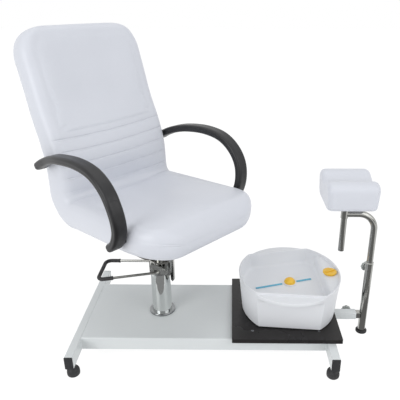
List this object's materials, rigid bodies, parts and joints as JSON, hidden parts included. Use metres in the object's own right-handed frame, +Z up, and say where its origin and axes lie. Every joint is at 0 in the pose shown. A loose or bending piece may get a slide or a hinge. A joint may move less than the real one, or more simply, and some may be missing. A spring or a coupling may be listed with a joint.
{
  "type": "pedicure spa chair",
  "caption": "Upholstered swivel pedicure chair on a hydraulic foot pump and low platform, with a lift-out foot bath and a sliding, swinging leg rest.",
  "frame": {"origin": "on the floor in the middle of the rear near glide's bottom face", "axes": "+X along the platform towards the leg rest, +Y to the far side, +Z up"},
  "size_m": [1.306, 0.8109, 1.1635],
  "materials": {
    "white_steel": "light grey-white powder coat",
    "black_plastic": "black moulded plastic",
    "black_rubber": "black rubber",
    "zinc_steel": "zinc-plated steel",
    "chrome_tube": "polished chrome",
    "cast_head": "grey casting",
    "black_board": "black laminate on board",
    "white_vinyl": "white leatherette over foam",
    "plywood": "plywood",
    "black_arm": "black integral-skin foam",
    "black_steel": "black powder coat",
    "nylon": "natural nylon",
    "grey_knob": "silver grey plastic",
    "tub_white": "white moulded plastic",
    "tub_yellow": "yellow plastic",
    "tub_blue": "light blue plastic"
  },
  "bodies": {
    "base": {"deck_tray": "white_steel", "deck_ribs": "white_steel", "cross_leg_rear": "white_steel", "cross_leg_front": "white_steel", "leg_end_caps": "black_plastic", "glide_feet": "black_rubber", "glide_studs": "zinc_steel", "tub_board": "black_board", "board_screws": "zinc_steel", "extension_sleeve": "white_steel", "pump_plate": "zinc_steel", "pump_bolts": "zinc_steel", "pump_body": "cast_head", "pump_shroud": "chrome_tube", "trim_ring": "chrome_tube", "pump_head": "cast_head", "pivot_bolt": "zinc_steel", "head_cover": "chrome_tube", "cover_screws": "zinc_steel"},
    "lever": {"lever_fork": "chrome_tube", "lever_eyes": "zinc_steel", "lever_grip": "black_rubber", "rocker_straps": "zinc_steel", "cross_pin": "zinc_steel"},
    "plunger": {"pump_plunger": "chrome_tube"},
    "lift": {"piston_tube": "chrome_tube", "swivel_bearing": "black_steel"},
    "chair": {"seat_plate": "black_steel", "seat_bolts": "zinc_steel", "seat_board": "plywood", "seat_cushion": "white_vinyl", "back_cushion": "white_vinyl", "armrest_left": "black_arm", "armrest_right": "black_arm", "arm_plates": "black_steel"},
    "extension": {"extension_bar": "chrome_tube", "post_tube": "chrome_tube", "post_foot": "black_rubber", "post_bush": "nylon"},
    "extension_clamp": {"extension_knob": "grey_knob"},
    "height_clamp": {"height_knob": "grey_knob"},
    "mast_slider": {"mast_plug": "nylon"},
    "mast": {"mast_tube": "chrome_tube", "collar_screw": "zinc_steel"},
    "stem": {"pad_stem": "chrome_tube", "stem_plug": "black_plastic"},
    "pad": {"pad_plate": "black_steel", "pad_screws": "zinc_steel", "pad_cushion": "white_vinyl"},
    "foot_bath": {"tub_basin": "tub_white", "tub_base": "tub_white", "tub_feet": "black_rubber", "tub_strip": "tub_blue", "tub_dome": "tub_yellow", "control_pod": "tub_white"},
    "dial": {"tub_dial": "tub_yellow"}
  },
  "joints": [
    {"name": "lever_pivot", "type": "hinge", "parent": "base", "child": "lever", "pos_m": [0.319, 0.258, 0.297], "axis": [0, -1, 0], "range_deg": [0, 20], "stiffness_Nm_per_rad": 4, "springref_deg": -28.65},
    {"name": "plunger_slide", "type": "slide", "parent": "base", "child": "plunger", "axis": [0, 0, -1], "range_m": [0, 0.02]},
    {"name": "seat_height", "type": "slide", "parent": "base", "child": "lift", "axis": [0, 0, 1], "range_m": [-0.08, 0.05]},
    {"name": "chair_swivel", "type": "hinge", "parent": "lift", "child": "chair", "pos_m": [0.292, 0.258, 0.44], "axis": [0, 0, 1], "continuous": true},
    {"name": "leg_rest_extension", "type": "slide", "parent": "base", "child": "extension", "axis": [1, 0, 0], "range_m": [0, 0.12]},
    {"name": "extension_knob_turn", "type": "hinge", "parent": "base", "child": "extension_clamp", "pos_m": [1.032, 0.258, 0.082], "axis": [0, 1, 0], "range_deg": [0, 360]},
    {"name": "height_knob_turn", "type": "hinge", "parent": "extension", "child": "height_clamp", "pos_m": [1.093, 0.258, 0.288], "axis": [-0.2588, 0.9659, 0], "range_deg": [0, 360]},
    {"name": "mast_height", "type": "slide", "parent": "extension", "child": "mast_slider", "axis": [0, 0, 1], "range_m": [-0.08, 0.1]},
    {"name": "mast_swing", "type": "hinge", "parent": "mast_slider", "child": "mast", "pos_m": [1.093, 0.258, 0.4], "axis": [0, 0, 1], "range_deg": [-90, 90]},
    {"name": "pad_height", "type": "slide", "parent": "mast", "child": "stem", "axis": [0, 0, 1], "range_m": [0, 0.1]},
    {"name": "pad_turn", "type": "hinge", "parent": "stem", "child": "pad", "pos_m": [0.979, 0.258, 0.55], "axis": [0, 0, 1], "range_deg": [-90, 90]},
    {"name": "foot_bath_lift_out", "type": "slide", "parent": "base", "child": "foot_bath", "axis": [0, -0.9903, 0.1392], "range_m": [0, 0.5]},
    {"name": "dial_turn", "type": "hinge", "parent": "foot_bath", "child": "dial", "pos_m": [0.9489, 0.2757, 0.26], "axis": [0, 0, 1], "range_deg": [0, 270]}
  ],
  "couplings": [
    {"joint": "plunger_slide", "follows": "lever_pivot", "m_per_rad": 0.057}
  ]
}
